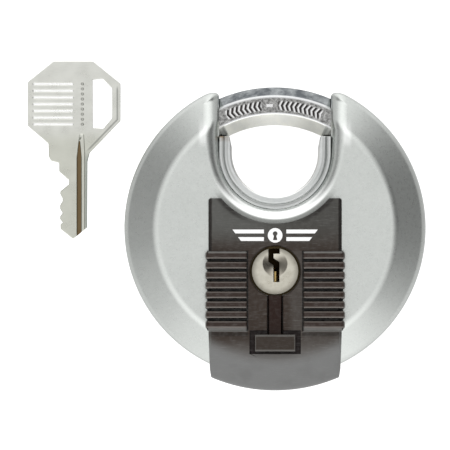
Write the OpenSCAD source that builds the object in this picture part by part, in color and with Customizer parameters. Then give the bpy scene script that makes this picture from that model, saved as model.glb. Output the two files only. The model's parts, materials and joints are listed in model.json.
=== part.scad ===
// Disc padlock with an arc shackle, a geared pin-tumbler cylinder, a ribbed
// plastic front cover with a sliding keyway shutter, and its flat key.
// The padlock lies on its back: the origin is the centre of the back face,
// +Z leaves through the front face and +Y points to the shackle. Millimetres.

/* [Body] */
// Outside radius of the round steel body
body_r = 35; // [34.8:0.1:35.2]
// Thickness of the steel body from back face to front face
body_t = 26; // [25.8:0.1:26.2]
// Thickness of the pressed steel sheet
sheet = 1.3; // [1.1:0.05:1.5]
// Radius of the flat part of the front and back faces
face_r = 27.8; // [27:0.1:28.5]

/* [Throat] */
// Clear radius of the throat inside its liner
throat_r = 10; // [9.5:0.1:10.2]
// Height of the throat centre above the disc centre
throat_y = 17.35; // [17:0.05:17.6]
// Radius of the rolled edge where the faces turn into the throat
roll = 2.4; // [1.5:0.1:2.6]

/* [Shackle] */
// Width of the octagonal shackle bar across its flats
bar = 8.85; // [8.4:0.05:9]
// Radius of the centre line of the shackle arc
arc_r = 28.3; // [28.1:0.05:28.5]

/* [Cover] */
// Height of the front of the cover above the back face
cover_z = 28.5; // [28.4:0.1:28.9]
// Spacing of the grip ribs
rib_pitch = 2.29; // [2.2:0.01:2.35]

/* [Hidden] */
$fn = 72;

steel = [0.78, 0.79, 0.78];
dark_steel = [0.45, 0.46, 0.47];
chrome_c = [0.86, 0.87, 0.88];
brass_c = [0.80, 0.64, 0.34];
nickel = [0.83, 0.82, 0.76];
black_plastic = [0.16, 0.16, 0.16];
zinc = [0.62, 0.63, 0.65];

mid = body_t / 2;
in_z = body_t - sheet;
uo = throat_r + 3;          // inside of the steel throat wall
ui = uo + sheet;            // its hidden side
bev = 30.8;                 // slope of the bevel round the faces
rim_f = 2.2;
rim_cx = body_r - rim_f;
rim_cz = body_t + (-rim_f - (body_r - face_r - rim_f) * sin(bev)) / cos(bev);
ax_y = -10;                 // axis of the cylinder
toe = 129;                  // ends of the shackle arc, degrees
tail = -20;
swing = 73;
pin_z = [21.1, 18.0, 14.9, 11.8];
key_pin_top = [-9.3, -11.6, -11.35, -11.7];
plug_face = body_t + 0.05;

function arc_pts(cx, cy, r, a0, a1, n) =
    [for (i = [0:n]) let (a = a0 + (a1 - a0) * i / n) [cx + r * cos(a), cy + r * sin(a)]];

// half of the pressed body, revolved: o is how far the surface is moved outwards
function body_half(o, top) = concat(
    [[0, mid], [0, top], [face_r + o * tan(bev / 2), top]],
    arc_pts(rim_cx, rim_cz, rim_f + o, 90 - bev, 0, 8),
    [[body_r + o, mid]]);

module revolve(p) { rotate_extrude($fn = 180) polygon(p); }
module flip_z() { translate([0, 0, body_t]) mirror([0, 0, 1]) children(); }

// a profile (x = distance from the throat wall line, y = height) taken round the U
module round_u(len) {
    translate([0, throat_y, 0]) {
        rotate_extrude(angle = 180, start = 180, $fn = 96) children();
        translate([0, len, 0]) rotate([90, 0, 0]) linear_extrude(len) children();
        mirror([1, 0, 0]) translate([0, len, 0]) rotate([90, 0, 0]) linear_extrude(len) children();
    }
}

module u_block(r, z0, z1) {
    round_u(25) translate([0, z0]) square([r, z1 - z0]);
}

function u_cut_profile() = concat(
    [[0, mid - 1], [uo, mid - 1]],
    arc_pts(uo + roll, body_t - roll, roll, 180, 90, 8),
    [[uo + roll, body_t + 3], [0, body_t + 3]]);

// bar section, outer side to +X; its outer facets are a little steeper
module octagon(w) {
    k = w / 8.85;
    polygon(k * [[4.425, 1.75], [2.3, 4.425], [-1.8, 4.425], [-4.425, 1.8],
        [-4.425, -1.8], [-1.8, -4.425], [2.3, -4.425], [4.425, -1.75]]);
}

module arc_bar(w, a0, a1) {
    translate([0, 0, mid]) rotate_extrude(angle = a1 - a0, start = a0, $fn = 180)
        translate([arc_r, 0]) octagon(w);
}

module ring_part(r0, r1, z0, z1, a0, a1) {
    translate([0, 0, z0]) rotate_extrude(angle = a1 - a0, start = a0, $fn = 180)
        translate([r0, 0]) square([r1 - r0, z1 - z0]);
}

module half_shell() {
    difference() {
        rotate_extrude($fn = 180) polygon(concat(
            [[0, mid], [0, body_t], [face_r, body_t]],
            arc_pts(rim_cx, rim_cz, rim_f, 90 - bev, 0, 8),
            [[body_r, mid + 0.3], [body_r - 0.3, mid]]));
        difference() {
            rotate_extrude($fn = 180) polygon(concat(
                [[0, mid - 1], [0, in_z], [face_r - sheet * tan(bev / 2), in_z]],
                arc_pts(rim_cx, rim_cz, rim_f - sheet, 90 - bev, 0, 6),
                [[body_r - sheet, mid - 1]]));
            u_block(ui, mid - 2, body_t + 2);
        }
        round_u(25) polygon(u_cut_profile());
        arc_bar(bar + 0.7, 45, 135);
    }
}

module front_shell() {
    color(steel) difference() {
        half_shell();
        translate([0, ax_y, in_z - 1]) cylinder(r = 5.85, h = 4);
        for (p = cover_screw_at) translate([p[0], p[1], in_z - 1]) cylinder(r = 1.2, h = 4, $fn = 24);
    }
}

module rear_shell() { color(steel) flip_z() half_shell(); }

// hardened U lining the throat, stepped so that it grips between the walls
module throat_liner() {
    color(zinc) difference() {
        union() {
            round_u(3.95) polygon([[throat_r, 1.5], [throat_r + 0.3, 1.2], [throat_r + 1.6, 1.2], [throat_r + 1.9, 1.5],
                [throat_r + 1.9, 1.9], [uo - 0.03, 1.9], [uo - 0.03, body_t - 1.9], [throat_r + 1.9, body_t - 1.9],
                [throat_r + 1.9, body_t - 1.5], [throat_r + 1.6, body_t - 1.2], [throat_r + 0.3, body_t - 1.2], [throat_r, body_t - 1.5]]);
        }
        arc_bar(bar + 0.7, 45, 135);
        for (s = [0, 1]) mirror([s, 0, 0]) translate([0, 0, -1]) linear_extrude(body_t + 2)
            polygon([[throat_r - 1, 18.6], [throat_r, 18.6], [throat_r + 0.6, 21.4], [throat_r - 1, 21.4]]);
    }
}

core_screw_at = [[-18.5, 4], [18.5, 4], [-13.2, -16.3], [13.2, -16.3]];
cover_screw_at = [[-12.2, 3.2], [12.2, 3.2], [-8.8, -22.5], [8.8, -22.5]];

function core_half() = concat(
    [[0, mid], [0, in_z], [face_r - sheet * tan(bev / 2) - 0.15, in_z]],
    arc_pts(rim_cx, rim_cz, rim_f - sheet - 0.12, 90 - bev, 0, 6),
    [[body_r - sheet - 0.12, mid]]);

module shackle_room() {
    ring_part(23.5, 34, mid - 4.75, mid + 4.75, tail - swing - 2, 66);
    ring_part(23.5, 34, mid - 4.75, mid + 4.75, 108, toe + 2);
}

module housing_room() {
    translate([0, ax_y, 8.2]) cylinder(r = 7.3, h = 20);
    translate([-2.45, -23.1, 8.2]) cube([4.9, 12, 20]);
}

module core_front() {
    color(zinc) difference() {
        rotate_extrude($fn = 180) polygon(core_half());
        u_block(ui + 0.06, mid - 2, body_t + 2);
        shackle_room();
        housing_room();
        translate([0, ax_y, 23.55]) cylinder(r = 8.55, h = 3);
        for (p = core_screw_at) translate([p[0], p[1], 0]) {
            cylinder(r = 1.3, h = 30, $fn = 32);
            translate([0, 0, 22.4]) cylinder(r = 2.45, h = 5, $fn = 32);
        }
        for (p = cover_screw_at) translate([p[0], p[1], 22.7]) cylinder(r = 2.4, h = 5, $fn = 32);
    }
}

module core_rear() {
    color(zinc) difference() {
        flip_z() rotate_extrude($fn = 180) polygon(core_half());
        u_block(ui + 0.06, -2, mid + 2);
        shackle_room();
        housing_room();
        // room for the toothed carrier and its raised pad
        ring_part(22.6, 31.65, 3.85, 7.75, -176, 11);
        ring_part(26.2, 30.4, 7, 9, tail - swing - 1, 11);
        // room for the drive pinion, its screw and the clip
        translate([0, ax_y, 3.85]) cylinder(r = 15.4, h = 3.9);
        translate([0, ax_y, 7]) cylinder(r = 7, h = 1.6);
        translate([0, ax_y, 2.6]) cylinder(r = 3.1, h = 2);
        for (p = core_screw_at) translate([p[0], p[1], 8.7]) cylinder(r = 1.27, h = 8, $fn = 32);
    }
}

module core_screws() {
    color(dark_steel) for (p = core_screw_at) translate([p[0], p[1], 0]) difference() {
        union() {
            translate([0, 0, 8.9]) cylinder(r = 1.25, h = 14, $fn = 32);
            translate([0, 0, 22.4]) cylinder(r = 2.35, h = 1.7, $fn = 32);
        }
        translate([0, 0, 23.3]) cylinder(r = 1.2, h = 2, $fn = 6);
    }
}

module drill_guard() {
    color(dark_steel) difference() {
        translate([0, ax_y, 23.6]) cylinder(r = 8.5, h = in_z - 23.6);
        translate([0, ax_y, 20]) cylinder(r = 5.85, h = 8);
    }
}

module cylinder_housing() {
    color(brass_c) difference() {
        union() {
            translate([0, ax_y, 8.3]) cylinder(r = 7.2, h = 15.25);
            translate([-2.3, -22.6, 8.3]) cube([4.6, 10, 15.25]);
        }
        translate([0, ax_y, 8]) cylinder(r = 5.26, h = 17);
        for (z = pin_z) translate([0, ax_y - 3, z]) rotate([90, 0, 0]) cylinder(r = 1.25, h = 12, $fn = 32);
    }
}

module chamber_cap() {
    color(brass_c) translate([-2.1, -23.0, 9]) cube([4.2, 0.4, 14]);
}

// coil of round wire along Y, from y0 down to y1
module coil(z, y0, y1) {
    wr = 0.16;
    turns = 6;
    n = 84;
    k = 6;
    r = 0.92;
    pts = [for (i = [0:n]) let (a = 360 * turns * i / n, y = (y0 - wr) + (y1 - y0 + 2 * wr) * i / n)
        for (j = [0:k - 1]) let (b = 360 * j / k)
            [(r + wr * cos(b)) * cos(a), y + wr * sin(b), z + (r + wr * cos(b)) * sin(a)]];
    faces = concat(
        [[for (j = [0:k - 1]) j]],
        [for (i = [0:n - 1]) for (j = [0:k - 1]) let (a = i * k + j, b = i * k + (j + 1) % k) [a, a + k, b]],
        [for (i = [0:n - 1]) for (j = [0:k - 1]) let (a = i * k + j, b = i * k + (j + 1) % k) [b, a + k, b + k]],
        [[for (j = [0:k - 1]) n * k + k - 1 - j]]);
    polyhedron(points = pts, faces = faces, convexity = 8);
}

module pin_spring(i) { color(chrome_c) coil(pin_z[i], -18.95, -22.58); }
module pin_spring_1() { pin_spring(0); }
module pin_spring_2() { pin_spring(1); }
module pin_spring_3() { pin_spring(2); }
module pin_spring_4() { pin_spring(3); }

// pins are turned round an axis along Y
module turned_y(z, p) {
    translate([0, 0, z]) rotate([-90, 0, 0]) rotate_extrude($fn = 32) polygon(p);
}

module driver_pin(i) {
    color(steel) turned_y(pin_z[i], [[0, -18.9], [0.95, -18.9], [1.17, -18.7], [1.17, -17.9], [0.85, -17.7],
        [0.85, -16.6], [1.17, -16.4], [1.17, -15.5], [1.0, -15.34], [0, -15.34]]);
}
module driver_pin_1() { driver_pin(0); }
module driver_pin_2() { driver_pin(1); }
module driver_pin_3() { driver_pin(2); }
module driver_pin_4() { driver_pin(3); }

module key_pin(i) {
    t = key_pin_top[i];
    color(brass_c) turned_y(pin_z[i], [[0, -15.06], [0.95, -15.06], [1.17, -14.9], [1.17, t - 0.8], [0.45, t], [0, t]]);
}
module key_pin_1() { key_pin(0); }
module key_pin_2() { key_pin(1); }
module key_pin_3() { key_pin(2); }
module key_pin_4() { key_pin(3); }

// outline of the cover seen from the front
module cover_plan(grow) {
    difference() {
        polygon([[-15.45, 6.55], [-15.45, -24.5], [-15.15, -32.6], [-14.3, -38.5], [14.3, -38.5], [15.15, -32.6],
            [15.45, -24.5], [15.45, 6.55], [15.1, 6.9], [-15.1, 6.9]]);
        translate([0, throat_y]) circle(r = 16.3 - grow, $fn = 120);
    }
}

function rib_profile() = concat([[-23.75, body_t], [-23.75, cover_z + 0.45], [-23.35, cover_z + 0.85]],
    [for (k = [7:-1:1]) let (g = -5.18 - k * rib_pitch)
        for (q = [[-0.48, 0.85], [-0.31, 0.62], [-0.26, -0.6], [0.26, -0.6], [0.31, 0.62], [0.48, 0.85]])
            [g + q[0], cover_z + q[1]]],
    [[-5.8, cover_z + 0.85], [-5.4, cover_z + 0.45], [-5.4, body_t]]);

module grip() {
    // ribs run across, extruded along X
    intersection() {
        translate([6.5, 0, 0]) rotate([90, 0, 90]) linear_extrude(9.65) polygon(rib_profile());
        translate([0, 1, 0]) rotate([90, 0, 0]) linear_extrude(40)
            polygon([[6.5, body_t], [6.5, cover_z + 0.5], [6.85, cover_z + 0.85], [15.3, cover_z + 0.85], [15.85, cover_z + 0.5],
                [16.15, cover_z - 0.6], [16.15, body_t]]);
        // each rib bulges a little past the side of the cover
        translate([0, 0, body_t - 1]) linear_extrude(6) polygon(concat([[6, -4], [15.75, -4]],
            [for (k = [0:7]) let (c = -6.44 - k * rib_pitch) for (q = [[15.75, 1.0], [16.15, 0.62], [16.15, -0.62], [15.75, -1.0]]) [q[0], c + q[1]]],
            [[15.75, -25], [6, -25]]));
    }
}

module front_cover() {
    color(black_plastic) difference() {
        union() {
            intersection() {
                rotate_extrude($fn = 180) polygon([[0, 4], [0, cover_z], [30.5, cover_z], [36.9, 24.7], [37.4, 24.2], [37.7, 23.3],
                    [37.7, 6.4], [37.2, 5.4], [35.6, 4.6], [33, 4.6]]);
                translate([0, 0, 3]) linear_extrude(30) cover_plan(0);
                translate([0, 10, 0]) rotate([90, 0, 0]) linear_extrude(50)
                    polygon([[-15.45, 3], [-15.45, body_t + 0.4], [-14.75, cover_z], [-14.75, 31], [14.75, 31], [14.75, cover_z],
                        [15.45, body_t + 0.4], [15.45, 3]]);
            }
            grip();
            mirror([1, 0, 0]) grip();
        }
        // seat on the steel body
        revolve(concat([[0, 2], [0, body_t], [face_r + 0.05 * tan(bev / 2), body_t]],
            arc_pts(rim_cx, rim_cz, rim_f + 0.05, 90 - bev, 0, 8),
            [for (q = arc_pts(rim_cx, rim_cz, rim_f + 0.05, 0, 90 - bev, 8)) [q[0], body_t - q[1]]],
            [[30, 1.5]]));
        // window for the plug with a small bevelled lip
        translate([0, ax_y, body_t - 1]) cylinder(r = 5.85, h = 6);
        translate([0, ax_y, cover_z - 0.35]) cylinder(r1 = 5.85, r2 = 6.3, h = 0.45);
        // track of the keyway shutter, its slot and the pocket round its tab
        translate([-2.9, -28.6, body_t - 3]) cube([5.8, 24.5, 4.3]);
        translate([-1.85, -28.55, body_t]) cube([3.7, 18, 6]);
        translate([-5.86, -29.1, cover_z - 0.55]) cube([11.72, 5.3, 3]);
        translate([2.8, -27.2, body_t - 1]) cube([1.3, 10, 2]);
        for (p = cover_screw_at) translate([p[0], p[1], body_t - 1]) cylinder(r = 1.03, h = 2.8, $fn = 24);
    }
}

// plain printed mark: a keyhole between two tapered bars
module cover_mark() {
    color([0.95, 0.95, 0.95]) translate([0, 0, cover_z]) linear_extrude(0.08) {
        difference() {
            translate([0, -1.7]) circle(r = 1.7, $fn = 48);
            translate([0, -1.3]) circle(r = 0.55, $fn = 32);
            polygon([[-0.22, -1.5], [0.22, -1.5], [0.5, -2.8], [-0.5, -2.8]]);
        }
        for (s = [-1, 1]) {
            polygon([[s * 2.6, -0.35], [s * 9.9, -0.35], [s * 9.2, -1.25], [s * 2.6, -1.25]]);
            polygon([[s * 2.6, -2.1], [s * 8.6, -2.1], [s * 7.9, -3.0], [s * 2.6, -3.0]]);
        }
    }
}

module cover_screws() {
    color(dark_steel) for (p = cover_screw_at) translate([p[0], p[1], 0]) difference() {
        union() {
            translate([0, 0, 22.9]) cylinder(r = 2.2, h = in_z - 22.9, $fn = 32);
            translate([0, 0, in_z - 0.2]) cylinder(r = 1.0, h = 3.1, $fn = 24);
        }
        translate([0, 0, 22]) cylinder(r = 1.0, h = 1.7, $fn = 6);
    }
}

// bent leaf that holds the shutter open or shut
module detent_spring() {
    color(chrome_c) translate([0, 0, body_t + 0.2]) linear_extrude(0.6)
        polygon([[4.0, -27.0], [3.7, -27.0], [3.65, -23.6], [2.95, -22.3], [3.65, -21.0], [3.7, -17.4], [4.0, -17.4],
            [3.95, -21.1], [3.35, -22.3], [3.95, -23.5]]);
}

module rivet_holes(r, z0, z1) {
    for (a = [-13, 4]) rotate(a) translate([arc_r, 0, z0]) cylinder(r = r, h = z1 - z0, $fn = 32);
}

module shackle() {
    color(chrome_c) difference() {
        arc_bar(bar, tail, toe);
        rivet_holes(1.32, 5, 11.6);
    }
}

// involute of a 20 degree tooth
function inv(a) = tan(a) * 180 / PI - a;
function half_ang(pr, hw, r) = hw / pr * 180 / PI + inv(20) - inv(acos(min(1, pr * cos(20) / r)));
function tooth(pr, hw, r0, r1, c, n) = concat(
    [for (i = [0:n]) let (r = r0 + (r1 - r0) * i / n, a = c - half_ang(pr, hw, r)) [r * cos(a), r * sin(a)]],
    [for (i = [n:-1:0]) let (r = r0 + (r1 - r0) * i / n, a = c + half_ang(pr, hw, r)) [r * cos(a), r * sin(a)]]);

module carrier_plate() {
    color(dark_steel) difference() {
        union() {
            translate([0, 0, 4.2]) linear_extrude(3.2) polygon(concat(
                [[23.0 * cos(-101.4), 23.0 * sin(-101.4)]],
                [for (k = [-1:11]) for (q = tooth(24, PI / 4 + 0.06, 23.0, 25.25, -90 + k * 7.5, 4)) q],
                [[25.0 * cos(-3.5), 25.0 * sin(-3.5)]],
                arc_pts(0, 0, 25.6, -3, 9, 6),
                arc_pts(0, 0, 31.3, 9, -101.4, 56)));
            ring_part(26.6, 30.0, 7.0, mid - bar / 2, tail + 0.5, 8.5);
        }
        rivet_holes(1.32, 1, 12);
        rivet_holes(2.12, 2, 5.02);
    }
}

module carrier_rivets() {
    color(steel) {
        rivet_holes(1.3, 4.25, 11.5);
        rivet_holes(2.1, 4.25, 5.0);
    }
}

keyway = [[-1.56, -4.1], [1.05, -4.1], [1.05, -5.95], [-0.37, -5.95], [-0.37, -7.0], [0.98, -7.9], [0.98, -12.56],
    [-0.37, -12.56], [-0.37, -8.6], [-1.56, -7.8]];

module plug() {
    color(nickel) difference() {
        union() {
            translate([0, ax_y, 8.3]) cylinder(r = 5.2, h = 15.5);
            translate([0, ax_y, 23.75]) cylinder(r = 5.4, h = plug_face - 23.75);
            translate([0, ax_y, 7.45]) cylinder(r = 3.2, h = 1.2);
            translate([-2, ax_y - 2, 4.25]) cube([4, 4, 3.5]);
        }
        translate([0, 0, 9.2]) linear_extrude(20) polygon(keyway);
        for (z = pin_z) translate([0, -8.35, z]) rotate([90, 0, 0]) cylinder(r = 1.25, h = 8.35, $fn = 32);
        translate([0, -8.2, plug_face - 1.6]) cylinder(r1 = 0.1, r2 = 3.08, h = 1.7);
        translate([0, ax_y, 7.65]) difference() {
            cylinder(r = 4, h = 0.55);
            translate([0, 0, -1]) cylinder(r = 2.9, h = 3);
        }
        translate([0, ax_y, 2]) cylinder(r = 1.02, h = 6, $fn = 24);
    }
}

module drive_pinion() {
    color(dark_steel) difference() {
        union() {
            translate([0, ax_y, 4.2]) linear_extrude(3.2) polygon(concat(
                [[0, 0], [12.75 * cos(-109.6), 12.75 * sin(-109.6)]],
                [for (k = [-1:10]) for (q = concat(
                    [[12.75 * cos(-90 + k * 90 / 7 - 3.4), 12.75 * sin(-90 + k * 90 / 7 - 3.4)]],
                    tooth(14, PI / 4 - 0.06, 13.17, 15.0, -90 + k * 90 / 7, 4),
                    [[12.75 * cos(-90 + k * 90 / 7 + 3.4), 12.75 * sin(-90 + k * 90 / 7 + 3.4)]])) q],
                [[12.75 * cos(45), 12.75 * sin(45)]]));
            translate([0, ax_y, 4.2]) cylinder(r = 6.5, h = 3.2);
        }
        translate([-2.04, ax_y - 2.04, 0]) cube([4.08, 4.08, 10]);
    }
}

module pinion_screw() {
    color(steel) difference() {
        union() {
            translate([0, ax_y, 2.95]) cylinder(r = 2.8, h = 1.2, $fn = 40);
            translate([0, ax_y, 4.0]) cylinder(r = 1.0, h = 3.8, $fn = 24);
        }
        translate([-3, ax_y - 0.3, 2]) cube([6, 0.6, 1.4]);
    }
}

module plug_clip() {
    color(chrome_c) difference() {
        translate([0, ax_y, 7.7]) cylinder(r = 6.5, h = 0.45);
        translate([0, ax_y, 7]) cylinder(r = 2.95, h = 2);
        translate([-2.4, ax_y, 7]) cube([4.8, 10, 2]);
        for (a = [-35, 35]) translate([0, ax_y, 7]) rotate(a) translate([0, -4.9, 0]) cylinder(r = 0.6, h = 2, $fn = 24);
    }
}

module keyway_shutter() {
    color(black_plastic) {
        translate([-2.6, -28.2, body_t + 0.3]) cube([5.2, 12.6, 0.7]);
        translate([-1.5, -28.2, body_t + 0.6]) cube([3.0, 12.6, 1.4]);
        translate([-1.45, -28.1, body_t + 1.9]) cube([2.9, 3.2, 1.1]);
        translate([-4.65, 0, 0]) rotate([90, 0, 90]) linear_extrude(9.3)
            polygon([[-28.6, cover_z + 0.3], [-28.6, cover_z + 1.0], [-28.2, cover_z + 1.4], [-25.1, cover_z + 1.4],
                [-24.7, cover_z + 1.0], [-24.7, cover_z + 0.3]]);
    }
}

module key() {
    color(nickel) difference() {
        linear_extrude(2.0) difference() {
            polygon([[-51.6, 38.9], [-42.4, 38.9], [-36.0, 33.7], [-36.0, 25.0], [-43.2, 17.5], [-43.7, 15.5], [-43.8, 0.1],
                [-47.05, -2.56], [-50.0, -0.2], [-50.0, 0.9], [-49.45, 1.25], [-50.1, 2.1], [-50.1, 2.7], [-49.5, 3.5],
                [-50.1, 4.5], [-50.1, 5.3], [-49.5, 6.3], [-49.5, 6.9], [-50.1, 8.0], [-50.0, 8.6], [-48.0, 10.2], [-48.0, 11.2],
                [-50.3, 13.2], [-50.3, 15.2], [-52.2, 15.7], [-52.7, 16.6], [-52.8, 19.7], [-57.65, 23.8], [-57.65, 34.05]]);
            polygon([[-42.5, 34.6], [-40.1, 34.8], [-37.95, 32.6], [-37.95, 25.6], [-40.0, 23.2], [-42.45, 23.4]]);
        }
        for (k = [0:6]) translate([-56.4, 33.35 - k * 1.567, 1.7]) cube([9.35, 0.5, 1]);
        // side groove that runs out to a point, and the stepped edge beside it
        translate([0, 0, 1.3]) linear_extrude(2) polygon([[-46.2, -3], [-45.15, -3], [-45.15, 16.4], [-45.5, 20.3], [-45.75, 20.3], [-46.2, 16.4]]);
        translate([0, 0, 1.72]) linear_extrude(2) polygon([[-45.3, -3], [-44.35, -3], [-44.35, 17.2], [-44.6, 21.9], [-45.5, 21.9], [-45.65, 20.1], [-45.3, 16.6]]);
        translate([0, 0, -1]) linear_extrude(1.55) polygon([[-48.2, -3], [-47.3, -3], [-47.3, 16.6], [-48.2, 16.0]]);
    }
}

front_shell();
rear_shell();
throat_liner();
core_front();
core_rear();
core_screws();
drill_guard();
cylinder_housing();
chamber_cap();
pin_spring_1();
pin_spring_2();
pin_spring_3();
pin_spring_4();
front_cover();
cover_mark();
cover_screws();
detent_spring();
shackle();
carrier_plate();
carrier_rivets();
plug();
drive_pinion();
pinion_screw();
plug_clip();
driver_pin_1();
driver_pin_2();
driver_pin_3();
driver_pin_4();
key_pin_1();
key_pin_2();
key_pin_3();
key_pin_4();
keyway_shutter();
key();
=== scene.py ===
import json
import math

import bmesh
import bpy
import numpy as np
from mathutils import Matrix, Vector, geometry, kdtree


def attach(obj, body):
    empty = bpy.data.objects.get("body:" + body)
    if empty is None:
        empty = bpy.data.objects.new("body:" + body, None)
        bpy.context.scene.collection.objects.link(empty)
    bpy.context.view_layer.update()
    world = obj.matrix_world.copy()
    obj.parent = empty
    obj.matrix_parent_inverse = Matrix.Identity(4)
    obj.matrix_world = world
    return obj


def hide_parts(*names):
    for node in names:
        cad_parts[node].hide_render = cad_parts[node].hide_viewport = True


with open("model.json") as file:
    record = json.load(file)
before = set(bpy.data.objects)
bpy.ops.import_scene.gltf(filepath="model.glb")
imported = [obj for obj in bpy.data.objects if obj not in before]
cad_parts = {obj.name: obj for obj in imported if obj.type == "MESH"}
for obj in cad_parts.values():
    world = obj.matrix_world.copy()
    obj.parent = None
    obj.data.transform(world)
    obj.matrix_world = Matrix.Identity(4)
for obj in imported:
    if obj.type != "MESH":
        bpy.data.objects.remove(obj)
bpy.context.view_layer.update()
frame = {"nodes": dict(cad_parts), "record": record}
N = frame["nodes"]

MM = 0.001
sin, cos, pi = math.sin, math.cos, math.pi

# ------------------------------------------------------------------ shells
UY, U0, RB, FACE, MIDZ, TOPZ = 17.35, 13.0, 35.0, 27.8, 13.0, 26.0
BEV = math.radians(30.8)
RF, RCX = 2.2, 32.8
RCZ = TOPZ + (-RF - (RB - FACE - RF) * sin(BEV)) / cos(BEV)
RCR = 4.0                      # rounding of the ridge between face and bevel
RT = RCR * math.tan(BEV / 2)
ZR0, ZRW = 33.2, 1.8           # start and width of the rim zone
ROLL_H, ROLL_V = 2.7, 2.4


def H0(R):
    if R <= FACE - RT:
        return TOPZ
    if R <= FACE - RT + RCR * sin(BEV):
        return TOPZ - RCR + math.sqrt(RCR * RCR - (R - FACE + RT) ** 2)
    if R <= RCX + RF * sin(BEV):
        return TOPZ - (R - FACE) * math.tan(BEV)
    return RCZ + math.sqrt(max(0.0, RF * RF - (min(R, RB) - RCX) ** 2))


def s_of(x, y):
    return (math.hypot(x, y - UY) if y < UY else abs(x)) - U0


def rh(y):
    """Width of the rolled edge: it widens up the shoulders."""
    t = min(1.0, max(0.0, (y - 13.0) / 9.5))
    return ROLL_H + 1.1 * t * t * (3 - 2 * t)


def drop(s, y):
    h = rh(y)
    k = min(1.0, max(0.0, (h - s) / h))
    return ROLL_V * h / ROLL_H * (1 - math.sqrt(max(0.0, 1 - k * k)))


def surf(x, y):
    R, s = math.hypot(x, y), s_of(x, y)
    h = rh(y)
    u, v = max(0.0, (R - ZR0) / ZRW), max(0.0, (h - s) / h)
    if u > 0 and v > 0:
        q = min(1.0, math.hypot(u, v))
        wu = u * u / (u * u + v * v)
        return wu * H0(ZR0 + ZRW * q) + (1 - wu) * (H0(ZR0) - drop(h * (1 - q), y))
    return H0(R) - drop(s, y)


def normal_at(x, y):
    e = 0.004
    gx = (surf(x + e, y) - surf(x - e, y)) / (2 * e)
    gy = (surf(x, y + e) - surf(x, y - e)) / (2 * e)
    n = Vector((-gx, -gy, 1.0))
    return n.normalized()


def contour(lam):
    """Closed loop at level lam: 1 is the outline, 0 the inner edge of the rounded zones. Each entry is (x, y, outline normal, kind)."""
    top_h = rh(40.0)
    r = ZR0 + ZRW * lam
    pts = []
    y_end = math.sqrt(ZR0 ** 2 - (U0 + top_h * (1 - lam)) ** 2)
    # throat: left side down, round the bottom, right side up
    n_st = 26
    for i in range(n_st):
        y = y_end + (UY - y_end) * i / n_st
        pts.append((-U0 - rh(y) * (1 - lam), y, (1, 0), "side"))
    n_arc = 84
    for i in range(n_arc + 1):
        a = pi + pi * i / n_arc
        xs = U0 + ROLL_H * (1 - lam)
        for _ in range(8):
            xs = U0 + rh(UY + xs * sin(a)) * (1 - lam)
        pts.append((xs * cos(a), UY + xs * sin(a), (-cos(a), -sin(a)), "arc"))
    for i in range(1, n_st + 1):
        y = UY + (y_end - UY) * i / n_st
        pts.append((U0 + rh(y) * (1 - lam), y, (-1, 0), "side"))
    # right corner, from the throat side to the rim
    nc = 14
    corner = []
    for i in range(1, nc + 1):
        ph = pi / 2 * (1 - i / nc)
        x = U0 + top_h * (1 - lam * sin(ph))
        rr = ZR0 + ZRW * lam * cos(ph)
        y = math.sqrt(rr * rr - x * x)
        nx, ny = -sin(ph) / top_h + cos(ph) / ZRW * x / rr, cos(ph) / ZRW * y / rr
        m = math.hypot(nx, ny)
        corner.append((x, y, (nx / m, ny / m), "corner"))
    pts += corner
    a0 = math.atan2(corner[-1][1], corner[-1][0])
    a1 = -pi - a0
    n_rim = 300
    for i in range(1, n_rim):
        a = a0 + (a1 - a0) * i / n_rim
        pts.append((r * cos(a), r * sin(a), (cos(a), sin(a)), "rim"))
    pts += [(-x, y, (-nx, ny), k) for x, y, (nx, ny), k in reversed(corner)]
    return pts


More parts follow.
